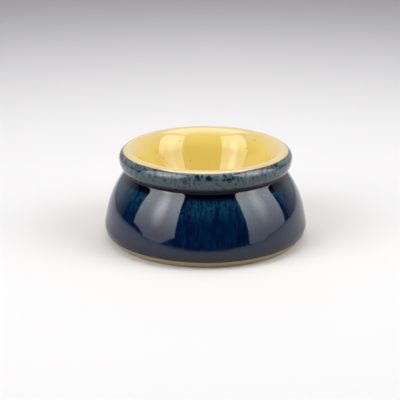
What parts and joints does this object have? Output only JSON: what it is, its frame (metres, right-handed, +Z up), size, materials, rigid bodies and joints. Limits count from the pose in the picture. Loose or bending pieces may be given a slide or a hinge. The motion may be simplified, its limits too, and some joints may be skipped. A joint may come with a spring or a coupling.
{
  "type": "shaving mug",
  "caption": "Low, wide-bellied shaving mug in glazed stoneware: dark blue outside, speckled grey-blue rolled rim, pale yellow inside, bare foot ring, no handle.",
  "frame": {"origin": "centre of the flat foot ring, on the surface the mug stands on", "axes": "+Z up the mug's axis of revolution, towards the mouth; +X and +Y are any two directions square to it"},
  "size_m": [0.12, 0.12, 0.0541],
  "materials": {
    "bare_stoneware": "matte",
    "dark_blue_glaze": "polished",
    "grey_blue_glaze": "polished",
    "yellow_glaze": "polished",
    "base_glaze": "gloss"
  },
  "bodies": {
    "root": {"stoneware_body": "bare_stoneware", "body_glaze": "dark_blue_glaze", "rim_glaze": "grey_blue_glaze", "liner_glaze": "yellow_glaze", "base_glaze": "base_glaze"}
  },
  "joints": []
}
